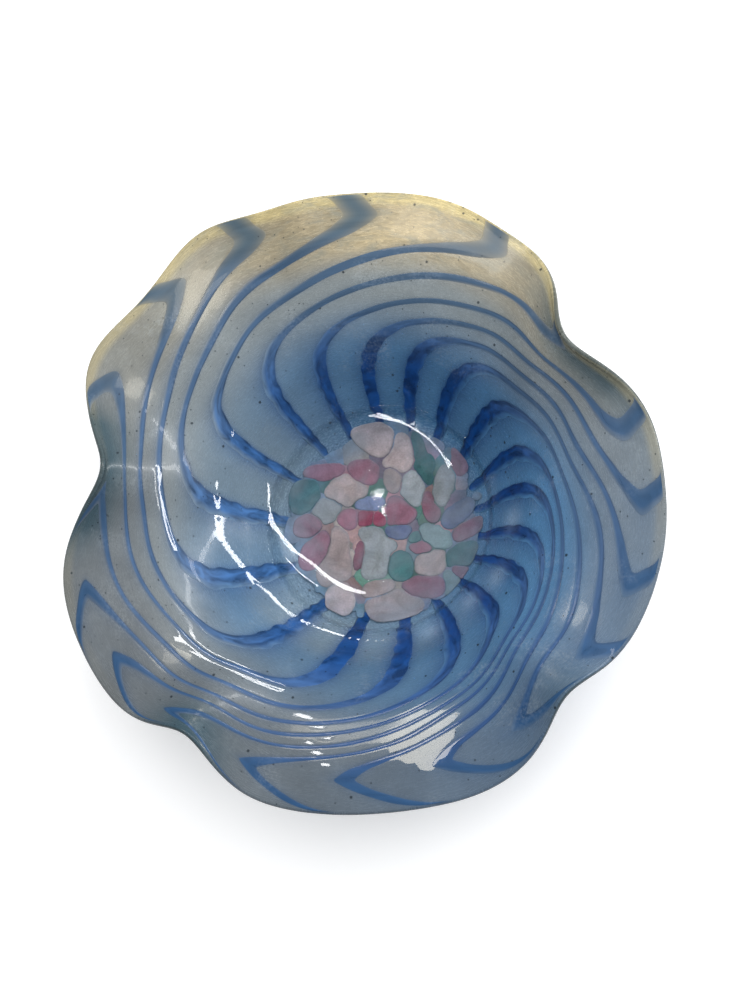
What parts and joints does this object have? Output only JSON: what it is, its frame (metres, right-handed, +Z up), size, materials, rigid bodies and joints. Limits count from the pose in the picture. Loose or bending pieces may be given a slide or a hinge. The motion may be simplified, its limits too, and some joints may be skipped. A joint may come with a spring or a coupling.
{
  "type": "ruffled art glass bowl",
  "caption": "Wide ruffled blown glass bowl with swept blue canes in opalescent glass, coloured glass chips under clear glass in the base, and a low flat foot",
  "frame": {"origin": "centre of the foot's flat resting face", "axes": "+Z up out of the bowl's mouth; +X and +Y are in the plane of the table, with the deepest folds of the rim towards -X and towards +X +Y"},
  "size_m": [0.2879, 0.2978, 0.0819],
  "materials": {
    "clear_glass": "clear, fire polished",
    "opal_glass": "grey-blue opalescent glass, gold lustre at one side of the rim, fine dark seeds",
    "blue_glass": "dark blue cane, mottled, flush under a fire polish",
    "red_glass": "opaque red frit",
    "rose_glass": "opaque rose frit",
    "salmon_glass": "opaque salmon frit",
    "white_glass": "opaque cream and white frit",
    "lavender_glass": "opaque lavender frit",
    "mint_glass": "opaque pale green frit",
    "green_glass": "translucent green frit",
    "mixed_glass": "crumbs of mixed frit"
  },
  "bodies": {
    "root": {"foot": "clear_glass", "bowl_wall": "opal_glass", "inner_casing": "clear_glass", "stripe_01": "blue_glass", "stripe_02": "blue_glass", "stripe_03": "blue_glass", "stripe_04": "blue_glass", "stripe_05": "blue_glass", "stripe_06": "blue_glass", "stripe_07": "blue_glass", "stripe_08": "blue_glass", "stripe_09": "blue_glass", "stripe_10": "blue_glass", "stripe_11": "blue_glass", "stripe_12": "blue_glass", "stripe_13": "blue_glass", "stripe_14": "blue_glass", "stripe_15": "blue_glass", "stripe_16": "blue_glass", "stripe_17": "blue_glass", "stripe_18": "blue_glass", "chip_red_1": "red_glass", "chip_red_2": "red_glass", "chip_rose_1": "rose_glass", "chip_rose_2": "rose_glass", "chip_rose_3": "rose_glass", "chip_rose_4": "rose_glass", "chip_rose_5": "rose_glass", "chip_rose_6": "rose_glass", "chip_rose_7": "rose_glass", "chip_rose_8": "rose_glass", "chip_rose_9": "rose_glass", "chip_rose_10": "rose_glass", "chip_rose_11": "rose_glass", "chip_rose_12": "rose_glass", "chip_rose_13": "rose_glass", "chip_salmon_1": "salmon_glass", "chip_salmon_2": "salmon_glass", "chip_salmon_3": "salmon_glass", "chip_salmon_4": "salmon_glass", "chip_salmon_5": "salmon_glass", "chip_salmon_6": "salmon_glass", "chip_salmon_7": "salmon_glass", "chip_salmon_8": "salmon_glass", "chip_salmon_9": "salmon_glass", "chip_white_1": "white_glass", "chip_white_2": "white_glass", "chip_white_3": "white_glass", "chip_white_4": "white_glass", "chip_lavender_1": "lavender_glass", "chip_lavender_2": "lavender_glass", "chip_lavender_3": "lavender_glass", "chip_mint_1": "mint_glass", "chip_mint_2": "mint_glass", "chip_green_1": "green_glass", "chip_green_2": "green_glass", "chip_green_3": "green_glass", "chip_green_4": "green_glass", "chip_green_5": "green_glass", "chip_crumbs": "mixed_glass"}
  },
  "joints": []
}
